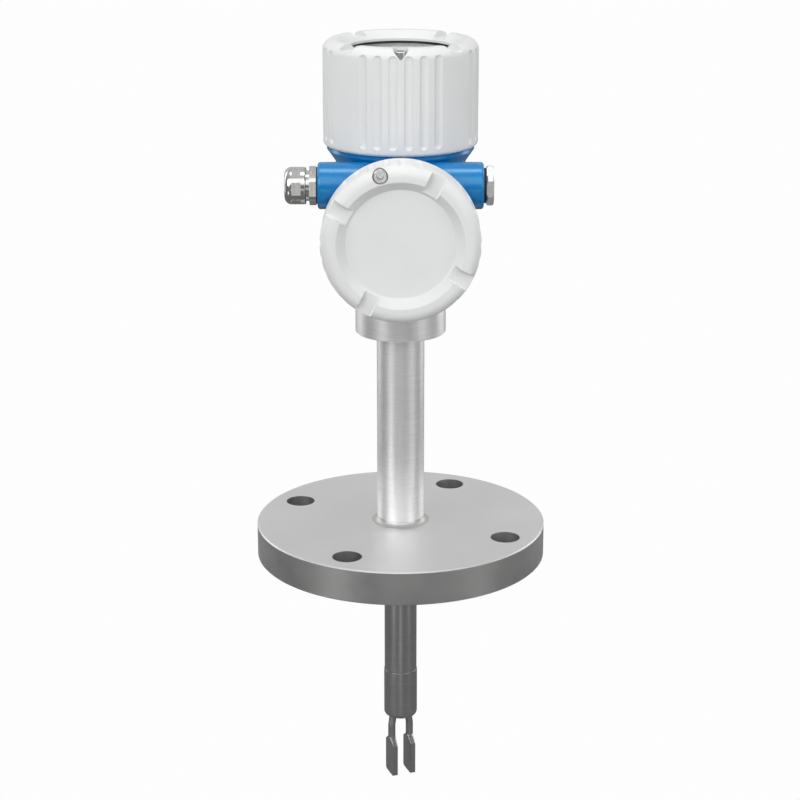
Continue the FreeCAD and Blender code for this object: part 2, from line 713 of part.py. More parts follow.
def make_snap_ring():
    inner = SPIGOT_OD - 2 * SNAP_GROOVE_DEPTH + 2 * SEAT_CLEARANCE
    bottom = SHOULDER_Z + TURN_GAP
    band = ring(inner + 2 * SNAP_RING_WIDTH, inner, bottom, bottom + SNAP_RING_THICKNESS)
    mouth = block(SNAP_RING_WIDTH * 2, SPIGOT_OD, bottom - 1, bottom + SNAP_RING_THICKNESS + 1,
                  0, SPIGOT_OD / 2)
    return band.cut(mouth)


# Housing


def make_upper_bowl():
    neck = NECK_OD / 2
    bowl = BOWL_OD / 2
    lip = LIP_OD / 2
    thread = MALE_THREAD_OD / 2
    lip_foot = UPPER_LIP_Z - LIP_HEIGHT
    return turned([
        (0, NECK_Z),
        (neck, NECK_Z, COLLAR_EDGE),
        (neck, NECK_Z + BOWL_START, BOWL_WALL * 2),
        (bowl, NECK_Z + BOWL_START + BOWL_FLARE, BOWL_WALL * 3),
        (bowl, lip_foot - LIP_TAPER, BOWL_WALL),
        (lip, lip_foot),
        (lip, UPPER_LIP_Z),
        (thread, UPPER_LIP_Z),
        (thread, MALE_THREAD_TOP_Z),
        (0, MALE_THREAD_TOP_Z),
    ])


def make_front_bowl():
    """Front bowl, built upright from the axis of the upper bowl and laid forward."""
    bowl = BOWL_OD / 2
    lip = LIP_OD / 2
    thread = MALE_THREAD_OD / 2
    reach = -FRONT_LIP_Y
    lip_foot = reach - LIP_HEIGHT
    back = -PARTITION_Y - PARTITION_WALL
    body = turned([
        (0, back / 2),
        (bowl - BOWL_WALL * 2, back / 2),
        (bowl, back, BOWL_WALL * 2),
        (bowl, lip_foot - LIP_TAPER, BOWL_WALL),
        (lip, lip_foot),
        (lip, reach),
        (thread, reach),
        (thread, reach + MALE_THREAD_LENGTH),
        (0, reach + MALE_THREAD_LENGTH),
    ])
    return placed(body, Placement(Vector(0, 0, FRONT_AXIS_Z), FORWARD))


def make_entry_tube():
    radius = ENTRY_TUBE_OD / 2
    tube = turned([
        (0, -ENTRY_REACH),
        (radius, -ENTRY_REACH, ENTRY_TUBE_EDGE),
        (radius, ENTRY_REACH, ENTRY_TUBE_EDGE),
        (0, ENTRY_REACH),
    ])
    return placed(tube, Placement(Vector(0, ENTRY_Y, ENTRY_Z), RIGHTWARD))


def ground_boss(rise):
    """Boss for a ground screw, standing on z = 0 with a buried foot."""
    return cylinder(GROUND_BOSS_DIAMETER, -BOWL_WALL, rise)


def ground_hole(rise):
    """Tapped hole for a ground screw on its boss."""
    diameter = GROUND_SHANK_DIAMETER + 2 * SCREW_SEAT_CLEARANCE
    return cylinder(diameter, rise - GROUND_SHANK_LENGTH - SCREW_SEAT_CLEARANCE, rise + 1)


def outer_ground_place(rise):
    return Placement(Vector(0, BOWL_OD / 2 + rise, FRONT_AXIS_Z), BACKWARD)


def inner_ground_place(rise):
    return Placement(Vector(INNER_GROUND_X, PARTITION_Y - rise, INNER_GROUND_Z), FORWARD)


def upper_chamber():
    """Hollow of the upper chamber, with the flat partition at its front."""
    drum = cylinder(CHAMBER_BORE, CHAMBER_FLOOR_Z, MALE_THREAD_TOP_Z + 1)
    depth = CHAMBER_BORE / 2 + CHAMBER_FRONT_Y
    front = block(CHAMBER_BORE, depth + 1, CHAMBER_FLOOR_Z - 1, CHAMBER_LEDGE_Z, 0,
                  CHAMBER_FRONT_Y - (depth + 1) / 2)
    mouth = cylinder(MOUTH_BORE, CHAMBER_LEDGE_Z, MALE_THREAD_TOP_Z + 1)
    return drum.cut(front).fuse(mouth)


def make_housing():
    casting = make_upper_bowl().fuse([make_front_bowl(), make_entry_tube()])
    outer_boss = placed(ground_boss(OUTER_GROUND_RISE), outer_ground_place(0))
    casting = casting.fuse(outer_boss)
    front_chamber = placed(cylinder(CHAMBER_BORE, -PARTITION_Y, MALE_THREAD_LENGTH - FRONT_LIP_Y + 1),
                           Placement(Vector(0, 0, FRONT_AXIS_Z), FORWARD))
    tools = [
        upper_chamber(),
        front_chamber,
        cylinder(WELL_BORE, SHOULDER_Z, CHAMBER_FLOOR_Z + 1),
        cylinder(SPIGOT_OD + 2 * TURN_CLEARANCE, NECK_Z - 1, SHOULDER_Z + 1),
        placed(cylinder(ENTRY_BORE, -ENTRY_BORE_DEPTH, 1), GLAND_PLACE),
        placed(cylinder(ENTRY_BORE, -ENTRY_BORE_DEPTH, 1), PLUG_PLACE),
        placed(cylinder(PARTITION_PLUG_DIAMETER + 2 * SEAT_CLEARANCE, -1, PARTITION_WALL + 1),
               Placement(Vector(0, CHAMBER_FRONT_Y, PARTITION_PLUG_Z), FORWARD)),
        placed(cylinder(NECK_SCREW_DIAMETER + 2 * SCREW_SEAT_CLEARANCE, 0, NECK_OD),
               Placement(Vector(0, 0, NECK_Z + NECK_SCREW_RISE), BACKWARD)),
        placed(ground_hole(OUTER_GROUND_RISE), outer_ground_place(0)),
    ]
    tools += screw_holes(cup_screw_points(), CUP_RIM_Z - SCREW_LENGTH - SCREW_SEAT_CLEARANCE, CUP_RIM_Z)
    casting = casting.cut(tools)
    casting = casting.fuse(placed(ground_boss(GROUND_BOSS_RISE), inner_ground_place(0)))
    return casting.cut(placed(ground_hole(GROUND_BOSS_RISE), inner_ground_place(0)))


def make_neck_screw():
    """Set screw at the back of the neck with a hexagon socket."""
    tip = SPIGOT_OD / 2 + TURN_GAP
    head = NECK_OD / 2 + NECK_SCREW_PROUD
    screw = cylinder(NECK_SCREW_DIAMETER, tip, head)
    socket = hexagon(NECK_SCREW_DIAMETER / 2, head - NECK_SCREW_DIAMETER / 2, head + 1)
    return placed(screw.cut(socket), Placement(Vector(0, 0, NECK_Z + NECK_SCREW_RISE), BACKWARD))


def ground_clamp():
    """Square clamp plate on z = 0 with a clearance hole."""
    plate = block(GROUND_CLAMP_SIZE, GROUND_CLAMP_SIZE, 0, GROUND_CLAMP_THICKNESS)
    hole = cylinder(GROUND_SHANK_DIAMETER + 2 * SCREW_SEAT_CLEARANCE, -1, GROUND_CLAMP_THICKNESS + 1)
    return plate.cut(hole)


def ground_screw():
    """Ground screw whose head rests on the clamp plate."""
    screw = slotted_head(GROUND_HEAD_DIAMETER, GROUND_HEAD_HEIGHT, GROUND_SHANK_DIAMETER,
                         GROUND_SHANK_LENGTH + GROUND_CLAMP_THICKNESS)
    return screw.translated(Vector(0, 0, GROUND_CLAMP_THICKNESS))


# Covers


def cover_point(circle, clock, angle):
    """Point on a circle, its angle counted from the lock screw."""
    turn = math.radians(clock + angle)
    return circle / 2 * math.cos(turn), circle / 2 * math.sin(turn)


def flute_cutters(height, clock):
    """Grooves in groups centred on the lock screw and every quarter turn."""
    centre_circle = COVER_OD + 2 * (FLUTE_RADIUS - FLUTE_DEPTH)
    first = -FLUTE_PITCH * (FLUTES_PER_GROUP - 1) / 2
    cutters = []
    for group in range(NOTCH_COUNT):
        for index in range(FLUTES_PER_GROUP):
            angle = 360 / NOTCH_COUNT * group + first + FLUTE_PITCH * index
            x, y = cover_point(centre_circle, clock, angle)
            head_z = height - FLUTE_HEAD
            foot = Part.makeSphere(FLUTE_RADIUS, Vector(x, y, FLUTE_FOOT))
            head = Part.makeSphere(FLUTE_RADIUS, Vector(x, y, head_z))
            cutters.append(cylinder(2 * FLUTE_RADIUS, FLUTE_FOOT, head_z, x, y).fuse([foot, head]))
    return cutters


def notch_cutters(height, clock):
    """Slots through the raised rim, midway between the groups of flutes."""
    inner = RECESS_DIAMETER / 2 - 1
    length = COVER_OD / 2 - inner + 1
    cutters = []
    for index in range(NOTCH_COUNT):
        angle = clock + 360 / NOTCH_COUNT * (index + 0.5)
        slot = Part.makeBox(length, NOTCH_WIDTH, NOTCH_DEPTH + 1,
                            Vector(inner, -NOTCH_WIDTH / 2, height - NOTCH_DEPTH))
        floor_edges = []
        for edge in slot.Edges:
            middle = edge.CenterOfMass
            if abs(middle.z - height + NOTCH_DEPTH) < 0.01 and abs(abs(middle.y) - NOTCH_WIDTH / 2) < 0.01:
                floor_edges.append(edge)
        slot = slot.makeFillet(NOTCH_CORNER, floor_edges)
        cutters.append(slot.rotated(Vector(0, 0, 0), Vector(0, 0, 1), angle))
    return cutters


def lock_screw_cutters(height, clock):
    """Open pocket for the screw head and the hole for its shank."""
    x, y = cover_point(LOCK_SCREW_CIRCLE, clock, 0)
    floor = height - LOCK_POCKET_DEPTH
    pocket = cylinder(LOCK_HEAD_DIAMETER + 2 * LOCK_POCKET_CLEARANCE, floor, height + 1, x, y)
    hole = cylinder(LOCK_SHANK_DIAMETER + 2 * SCREW_SEAT_CLEARANCE,
                    floor - LOCK_SHANK_LENGTH - SCREW_SEAT_CLEARANCE, floor + 1, x, y)
    return [pocket, hole]


def cover_shell(height, clock, cavity_top, recess_depth, face_outline):
    """Fluted cover standing on z = 0, closed by the given face outline."""
    thread = COVER_THREAD_BORE / 2
    outer = COVER_OD / 2
    cavity = COVER_CAVITY / 2
    outline = [
        (cavity, COVER_THREAD_LENGTH),
        (thread, COVER_THREAD_LENGTH),
        (thread, 0),
        (outer, 0, COVER_FOOT_EDGE),
        (outer, height, COVER_CREST_EDGE),
        (CREST_BORE / 2, height, CREST_INNER_EDGE),
        (RECESS_DIAMETER / 2, height - recess_depth, RECESS_EDGE),
    ]
    shell = turned(outline + face_outline + [(cavity, cavity_top)])
    seal_groove = ring(COVER_THREAD_BORE + 2 * COVER_SEAL_GROOVE_DEPTH, COVER_THREAD_BORE - 2,
                       COVER_SEAL_RISE, COVER_SEAL_RISE + COVER_SEAL_GROOVE_HEIGHT)
    tools = [seal_groove]
    tools += flute_cutters(height, clock)
    tools += notch_cutters(height, clock)
    tools += lock_screw_cutters(height, clock)
    return shell.cut(tools)


def make_upper_cover():
    height = UPPER_COVER_HEIGHT
    ledge = height - WINDOW_LEDGE_DEPTH
    nut_bore = GLASS_NUT_OD / 2 + GLASS_CLEARANCE
    nut_foot = GLASS_NUT_BOTTOM - GLASS_GASKET
    face = [
        (WINDOW_BORE / 2, height - WINDOW_RECESS_DEPTH),
        (WINDOW_BORE / 2, ledge),
        (GLASS_SEAT / 2, ledge),
        (GLASS_SEAT / 2, GLASS_BOTTOM),
        (nut_bore, GLASS_BOTTOM),
        (nut_bore, nut_foot),
    ]
    shell = cover_shell(height, UPPER_COVER_CLOCK, nut_foot, UPPER_RECESS_DEPTH, face)
    return placed(shell, UPPER_COVER_PLACE)


def make_front_cover():
    height = FRONT_COVER_HEIGHT
    cavity_top = height - FRONT_RECESS_DEPTH - FACE_WALL
    face = [
        (0, height - FRONT_RECESS_DEPTH),
        (0, cavity_top),
    ]
    shell = cover_shell(height, FRONT_COVER_CLOCK, cavity_top, FRONT_RECESS_DEPTH, face)
    return placed(shell, FRONT_COVER_PLACE)


def make_glass_gasket():
    gasket = ring(GLASS_SEAT - 2 * GLASS_CLEARANCE, WINDOW_BORE, GLASS_TOP, GLASS_TOP + GLASS_GASKET)
    return placed(gasket, UPPER_COVER_PLACE)


def make_sight_glass():
    radius = GLASS_SEAT / 2 - GLASS_CLEARANCE
    glass = turned([
        (0, GLASS_BOTTOM),
        (radius - GLASS_GASKET, GLASS_BOTTOM),
        (radius, GLASS_BOTTOM + GLASS_GASKET),
        (radius, GLASS_TOP - GLASS_GASKET),
        (radius - GLASS_GASKET, GLASS_TOP),
        (0, GLASS_TOP),
    ])
    return placed(glass, UPPER_COVER_PLACE)


def make_glass_nut():
    bottom = GLASS_NUT_BOTTOM
    nut = ring(GLASS_NUT_OD, GLASS_NUT_BORE, bottom, GLASS_BOTTOM)
    slot = block(GLASS_NUT_OD + 2, GLASS_NUT_SLOT, bottom - 1, bottom + GLASS_NUT_HEIGHT / 2)
    return placed(nut.cut(slot), UPPER_COVER_PLACE)


def cover_seal():
    """Round seal in the groove at the cover's foot."""
    radius = COVER_THREAD_BORE / 2 + COVER_SEAL_GROOVE_DEPTH - THREAD_CLEARANCE - COVER_SEAL_SECTION / 2
    middle = COVER_SEAL_RISE + COVER_SEAL_GROOVE_HEIGHT / 2
    return Part.makeTorus(radius, COVER_SEAL_SECTION / 2, Vector(0, 0, middle))


def lock_screw(height, clock):
    """Socket head screw in its pocket."""
    x, y = cover_point(LOCK_SCREW_CIRCLE, clock, 0)
    seat = height - LOCK_POCKET_DEPTH
    top = seat + LOCK_HEAD_HEIGHT
    radius = LOCK_HEAD_DIAMETER / 2
    shank = LOCK_SHANK_DIAMETER / 2
    screw = turned([
        (0, seat - LOCK_SHANK_LENGTH),
        (shank, seat - LOCK_SHANK_LENGTH),
        (shank, seat),
        (radius, seat),
        (radius, top, LOCK_HEAD_EDGE),
        (0, top),
    ])
    screw = screw.cut(hexagon(LOCK_SOCKET_SIZE, top - LOCK_SOCKET_DEPTH, top + 1))
    return screw.translated(Vector(x, y, 0))


# Electronics insert


def post_points():
    """Places of the posts that carry a board."""
    points = []
    for index in range(POST_COUNT):
        angle = math.radians(90 + 360 / POST_COUNT * index)
        points.append((POST_CIRCLE / 2 * math.cos(angle), POST_CIRCLE / 2 * math.sin(angle)))
    return points


def cup_post_points():
    """The cup's posts, kept clear of its flat front."""
    reach = -CHAMBER_FRONT_Y - CUP_WALL - POST_DIAMETER
    return [(0, reach), (-reach, 0), (reach, 0)]


def chamber_drum(inset, bottom, top):
    """Drum that follows the chamber's wall and its flat front at an inset."""
    drum = cylinder(CHAMBER_BORE - 2 * inset, bottom, top)
    flat_y = CHAMBER_FRONT_Y + inset
    front = block(CHAMBER_BORE, CHAMBER_BORE, bottom - 1, top + 1, 0, flat_y - CHAMBER_BORE / 2)
    return drum.cut(front)


def make_screw(seat, x, y, direction):
    """Small screw; its head stands on the seat, away from the shank."""
    head_top = seat + direction * SCREW_HEAD_HEIGHT
    tip = seat - direction * SCREW_LENGTH
    head = cylinder(SCREW_HEAD, min(seat, head_top), max(seat, head_top), x, y)
    shank = cylinder(SCREW_SHANK, min(seat, tip), max(seat, tip), x, y)
    slot = block(SCREW_HEAD + 1, SLOT_WIDTH, head_top - SLOT_DEPTH, head_top + SLOT_DEPTH, x, y)
    return head.fuse(shank).cut(slot).removeSplitter()


def screw_holes(points, bottom, top):
    """Holes with a little room for the small screws."""
    return [cylinder(SCREW_SHANK + 2 * SCREW_SEAT_CLEARANCE, bottom, top, x, y) for x, y in points]


def cup_screw_points():
    """Two screws through the cup's rim into the wall behind the partition."""
    y = CHAMBER_FRONT_Y - PARTITION_WALL / 2
    return [(-CUP_SCREW_X, y), (CUP_SCREW_X, y)]


def make_cup_screws():
    return Part.makeCompound([make_screw(CUP_RIM_Z, x, y, 1) for x, y in cup_screw_points()])


def make_electronics_cup():
    rim = cylinder(MOUTH_BORE - 2 * CUP_RIM_CLEARANCE, CHAMBER_LEDGE_Z, CUP_RIM_Z)
    cup = chamber_drum(INSERT_CLEARANCE, CHAMBER_FLOOR_Z, CHAMBER_LEDGE_Z).fuse(rim)
    floor = CHAMBER_FLOOR_Z + CUP_WALL
    hollow = chamber_drum(INSERT_CLEARANCE + CUP_WALL, floor, CUP_RIM_Z + 1)
    cup = cup.cut([hollow] + screw_holes(cup_screw_points(), CHAMBER_LEDGE_Z - 1, CUP_RIM_Z + 1))
    posts = []
    for x, y in cup_post_points():
        posts.append(cylinder(POST_DIAMETER, floor - CUP_WALL / 2, POWER_BOARD_Z, x, y))
    cup = cup.fuse(posts).removeSplitter()
    return cup.cut(screw_holes(cup_post_points(), POWER_BOARD_Z - SCREW_LENGTH, POWER_BOARD_Z + 1))


def make_power_board():
    bottom = POWER_BOARD_Z
    inset = INSERT_CLEARANCE + CUP_WALL + INSERT_CLEARANCE
    board = chamber_drum(inset, bottom, bottom + BOARD_THICKNESS)
    return board.cut(screw_holes(cup_post_points(), bottom - 1, bottom + BOARD_THICKNESS + 1))


def make_power_components():
    """Relay and two capacitors on the power board."""
    bottom = POWER_BOARD_Z + BOARD_THICKNESS
    relay = block(RELAY_SIZE, RELAY_SIZE, bottom, bottom + RELAY_HEIGHT, 0, -RELAY_SIZE / 2)
    parts = [relay]
    for side in (-1, 1):
        x = side * (RELAY_SIZE / 2 + CAPACITOR_DIAMETER)
        parts.append(cylinder(CAPACITOR_DIAMETER, bottom, bottom + CAPACITOR_HEIGHT, x, -RELAY_SIZE))
    return Part.makeCompound(parts)


def make_board_ribbon():
    """Flat lead between the two boards."""
    bottom = POWER_BOARD_Z + BOARD_THICKNESS
    top = MAIN_BOARD_TOP_Z - BOARD_THICKNESS
    return block(RIBBON_WIDTH, RIBBON_THICKNESS, bottom, top, 0, RIBBON_Y)


def tower_openings():
    """Openings in the tower's top: screen, buttons and slider block."""
    low = TOWER_CEILING_Z - 1
    high = TOWER_TOP_Z + 1
    openings = [block(SCREEN_WIDTH - 2 * SCREEN_OVERLAP, SCREEN_DEPTH - 2 * SCREEN_OVERLAP, low, high,
                      0, SCREEN_Y)]
    for x in button_places():
        openings.append(cylinder(BUTTON_DIAMETER + 2 * BUTTON_CLEARANCE, low, high, x, BUTTON_Y))
    openings.append(block(SLIDER_BLOCK_LENGTH + 2 * SCREW_SEAT_CLEARANCE,
                          SLIDER_BLOCK_WIDTH + 2 * SCREW_SEAT_CLEARANCE, low, high, 0, SLIDER_Y))
    return openings


def make_display_tower():
    outer = TOWER_OD / 2
    inner = outer - TOWER_WALL
    shell = turned([
        (inner, CUP_RIM_Z),
        (outer, CUP_RIM_Z),
        (outer, TOWER_TOP_Z, TOWER_EDGE),
        (0, TOWER_TOP_Z),
        (0, TOWER_CEILING_Z),
        (inner, TOWER_CEILING_Z),
    ])
    posts = []
    for x, y in post_points():
        posts.append(cylinder(POST_DIAMETER, MAIN_BOARD_TOP_Z, TOWER_CEILING_Z + TOWER_WALL / 2, x, y))
    holes = screw_holes(post_points(), MAIN_BOARD_TOP_Z - 1, MAIN_BOARD_TOP_Z + SCREW_LENGTH)
    return shell.fuse(posts).cut(tower_openings() + holes).removeSplitter()


def make_main_board():
    diameter = TOWER_OD - 2 * TOWER_WALL - 2 * INSERT_CLEARANCE
    board = cylinder(diameter, MAIN_BOARD_TOP_Z - BOARD_THICKNESS, MAIN_BOARD_TOP_Z)
    return board.cut(screw_holes(post_points(), MAIN_BOARD_TOP_Z - BOARD_THICKNESS - 1, MAIN_BOARD_TOP_Z + 1))


def make_board_screws():
    """Screws that hold the power board from above and the main board from below."""
    power_seat = POWER_BOARD_Z + BOARD_THICKNESS
    main_seat = MAIN_BOARD_TOP_Z - BOARD_THICKNESS
    screws = [make_screw(power_seat, x, y, 1) for x, y in cup_post_points()]
    screws += [make_screw(main_seat, x, y, -1) for x, y in post_points()]
    return Part.makeCompound(screws)


def make_display_screen():
    top = TOWER_CEILING_Z - SCREEN_GAP
    return block(SCREEN_WIDTH, SCREEN_DEPTH, top - SCREEN_THICKNESS, top, 0, SCREEN_Y)


def make_display_backlight():
    top = TOWER_CEILING_Z - SCREEN_GAP - SCREEN_THICKNESS
    return block(SCREEN_WIDTH - 2 * SCREEN_OVERLAP, SCREEN_DEPTH - 2 * SCREEN_OVERLAP,
                 MAIN_BOARD_TOP_Z, top, 0, SCREEN_Y)


def button_places():
    first = -BUTTON_PITCH * (BUTTON_COUNT - 1) / 2
    return [first + BUTTON_PITCH * index for index in range(BUTTON_COUNT)]


def button_flange_top():
    return TOWER_CEILING_Z - BUTTON_CLEARANCE


def make_push_button(x):
    """Button cap with a stop flange under the tower's top and a stem below."""
    top = TOWER_TOP_Z + BUTTON_HEIGHT
    flange_top = button_flange_top()
    flange_bottom = flange_top - BUTTON_FLANGE_THICKNESS
    stem_bottom = flange_bottom - BUTTON_STEM / 2
    cap = turned([
        (0, stem_bottom),
        (BUTTON_STEM / 2, stem_bottom),
        (BUTTON_STEM / 2, flange_bottom),
        (BUTTON_FLANGE / 2, flange_bottom),
        (BUTTON_FLANGE / 2, flange_top),
        (BUTTON_DIAMETER / 2, flange_top),
        (BUTTON_DIAMETER / 2, top, BUTTON_HEIGHT / 2),
        (0, top),
    ])
    return cap.translated(Vector(x, BUTTON_Y, 0))


def make_button_switches():
    """Switch bodies on the main board, one under each button."""
    top = button_flange_top() - BUTTON_FLANGE_THICKNESS - BUTTON_STEM / 2
    top -= BUTTON_TRAVEL + BUTTON_CLEARANCE
    bodies = []
    for x in button_places():
        bodies.append(block(BUTTON_FLANGE, BUTTON_FLANGE, MAIN_BOARD_TOP_Z, top, x, BUTTON_Y))
    return Part.makeCompound(bodies)


def slider_places():
    first = -SLIDER_PITCH * (SLIDER_COUNT - 1) / 2
    return [first + SLIDER_PITCH * index for index in range(SLIDER_COUNT)]


def slider_block_top():
    return TOWER_TOP_Z + SLIDER_BLOCK_RISE


def make_slider_block():
    """Switch block let into the tower's top, with one slot for each slider."""
    top = slider_block_top()
    slot_length = SLIDER_SIZE + SLIDER_TRAVEL + 2 * SLIDER_CLEARANCE
    slot_width = SLIDER_SIZE + 2 * SLIDER_CLEARANCE
    body = block(SLIDER_BLOCK_LENGTH, SLIDER_BLOCK_WIDTH, MAIN_BOARD_TOP_Z, top, 0, SLIDER_Y)
    slots = []
    for x in slider_places():
        slots.append(block(slot_length, slot_width, top - SLIDER_DEPTH, top + 1, x, SLIDER_Y))
    return body.cut(slots)


def make_slider(x):
    """Slider at the left end of its slot."""
    top = slider_block_top() + SLIDER_RISE
    bottom = slider_block_top() - SLIDER_DEPTH + SCREW_SEAT_CLEARANCE
    return block(SLIDER_SIZE, SLIDER_SIZE, bottom, top, x - SLIDER_TRAVEL / 2, SLIDER_Y)


# Front chamber


def make_partition_feedthrough():
    """Sealed plug through the partition, flange on the terminal side."""
    radius = PARTITION_PLUG_DIAMETER / 2
    flange = PARTITION_PLUG_FLANGE / 2
    face = PARTITION_WALL
    plug = turned([
        (0, 0),
        (radius, 0),
        (radius, face),
        (flange, face),
        (flange, face + PARTITION_PLUG_RISE / 2),
        (radius, face + PARTITION_PLUG_RISE / 2),
        (radius, face + PARTITION_PLUG_RISE, PARTITION_PLUG_EDGE),
        (0, face + PARTITION_PLUG_RISE),
    ])
    return placed(plug, Placement(Vector(0, CHAMBER_FRONT_Y, PARTITION_PLUG_Z), FORWARD))


def terminal_places():
    first = -TERMINAL_PITCH * (TERMINAL_COUNT - 1) / 2
    return [first + TERMINAL_PITCH * index for index in range(TERMINAL_COUNT)]


def terminal_place(x):
    """Front face of the terminal block above one wire hole."""
    z = TERMINAL_BASE_Z + TERMINAL_HEIGHT / 2
    return Placement(Vector(x, PARTITION_Y - TERMINAL_DEPTH, z), FORWARD)


def make_terminal_block():
    body = Part.makeBox(TERMINAL_WIDTH, TERMINAL_DEPTH, TERMINAL_HEIGHT,
                        Vector(-TERMINAL_WIDTH / 2, PARTITION_Y - TERMINAL_DEPTH, TERMINAL_BASE_Z))
    tools = []
    for x in terminal_places():
        tools.append(placed(cylinder(TERMINAL_WELL, -TERMINAL_WELL_DEPTH, 1), terminal_place(x)))
        tools.append(cylinder(TERMINAL_WIRE_HOLE, TERMINAL_BASE_Z - 1,
                              TERMINAL_BASE_Z + TERMINAL_WIRE_DEPTH, x,
                              PARTITION_Y - TERMINAL_DEPTH / 2))
    return body.cut(tools)


def make_terminal_screws():
    diameter = TERMINAL_WELL - 2 * SCREW_SEAT_CLEARANCE
    screws = []
    for x in terminal_places():
        screw = cylinder(diameter, -TERMINAL_WELL_DEPTH, -TERMINAL_WELL_DEPTH + TERMINAL_SCREW_HEIGHT)
        slot = block(TERMINAL_WELL, SLOT_WIDTH, -TERMINAL_WELL_DEPTH + TERMINAL_SCREW_HEIGHT - SLOT_DEPTH, 1)
        screws.append(placed(screw.cut(slot), terminal_place(x)))
    return Part.makeCompound(screws)


# Cable gland and blind plug


def make_gland_washer():
    washer = ring(GLAND_WASHER_OD, ENTRY_BORE + 2 * SEAT_CLEARANCE, 0, GLAND_WASHER_THICKNESS)
    return placed(washer, GLAND_PLACE)


def gland_hex_top():
    return GLAND_WASHER_THICKNESS + GLAND_HEX_LENGTH


def make_gland_body():
    thread = ENTRY_BORE / 2 - SEAT_CLEARANCE
    hex_bottom = GLAND_WASHER_THICKNESS
    hex_top = gland_hex_top()
    top = hex_top + GLAND_THREAD_LENGTH
    nut = hexagon(GLAND_HEX, hex_bottom, hex_top).common(cylinder(GLAND_HEX_CORNER, hex_bottom, hex_top))
    stem = cylinder(2 * thread, -ENTRY_THREAD_LENGTH, hex_bottom)
    male = cylinder(GLAND_THREAD_OD, hex_top, top)
    bore = cylinder(GLAND_CABLE_BORE, -ENTRY_THREAD_LENGTH - 1, top + 1)
    cage = cylinder(GLAND_CAGE_BORE, top - GLAND_CAGE_DEPTH, top + 1)
    body = nut.fuse([stem, male]).cut([bore, cage])
    return placed(body, GLAND_PLACE)


def make_seal_insert():
    """Rubber insert that grips the cable, seated in the gland's cage."""
    bottom = gland_hex_top() + GLAND_THREAD_LENGTH - GLAND_CAGE_DEPTH
    outer = GLAND_CAGE_BORE - 2 * SEAT_CLEARANCE
    insert = ring(outer, SEAL_INSERT_BORE, bottom, bottom + SEAL_INSERT_LENGTH)
    return placed(insert, GLAND_PLACE)


def cap_bottom():
    return gland_hex_top() + GLAND_NECK_LENGTH


def make_clamp_ring():
    """Slip ring between the insert and the cap nut."""
    top = cap_bottom() + CAP_POCKET_DEPTH - SCREW_SEAT_CLEARANCE
    band = ring(CAP_POCKET_BORE - 2 * THREAD_CLEARANCE, CLAMP_RING_BORE, top - CLAMP_RING_THICKNESS, top)
    return placed(band, GLAND_PLACE)


def make_cap_nut():
    radius = CAP_OD / 2
    start = cap_bottom()
    end = start + CAP_LENGTH
    thread = GLAND_THREAD_OD / 2 + THREAD_CLEARANCE
    body = turned([
        (thread, start),
        (radius, start, CAP_INNER_EDGE),
        (radius, end, CAP_EDGE),
        (CAP_MOUTH / 2, end, CAP_MOUTH_EDGE),
        (CAP_MOUTH / 2, start + CAP_POCKET_DEPTH),
        (CAP_POCKET_BORE / 2, start + CAP_POCKET_DEPTH),
        (CAP_POCKET_BORE / 2, start + CAP_THREAD_DEPTH),
        (thread, start + CAP_THREAD_DEPTH),
    ])
    low = start + CAP_HEX_START
    high = low + CAP_HEX_LENGTH
    facets = cylinder(CAP_OD + 2, low, high).cut(hexagon(CAP_HEX, low, high))
    return placed(body.cut(facets), GLAND_PLACE)


def plug_shank():
    return ENTRY_BORE - 2 * (THREAD_CLEARANCE + SEAT_CLEARANCE)


def make_plug_seal():
    seal = ring(PLUG_SEAL_OD, plug_shank() + 2 * THREAD_CLEARANCE, 0, PLUG_SEAL_THICKNESS)
    return placed(seal, PLUG_PLACE)


def make_blind_plug():
    seat = PLUG_SEAL_THICKNESS + SCREW_SEAT_CLEARANCE
    top = seat + PLUG_HEAD_LENGTH
    corner = PLUG_HEAD_CORNER / 2
    limit = turned([
        (0, seat),
        (corner - PLUG_HEAD_EDGE, seat),
        (corner, seat + PLUG_HEAD_EDGE),
        (corner, top - PLUG_HEAD_EDGE),
        (corner - PLUG_HEAD_EDGE, top),
        (0, top),
    ])
    head = hexagon(PLUG_HEAD_HEX, seat, top).common(limit)
    shank = cylinder(plug_shank(), -ENTRY_THREAD_LENGTH, seat)
    hollow = cylinder(PLUG_BORE, -ENTRY_THREAD_LENGTH - 1, top - PLUG_FLOOR)
    return placed(head.fuse(shank).cut(hollow), PLUG_PLACE)


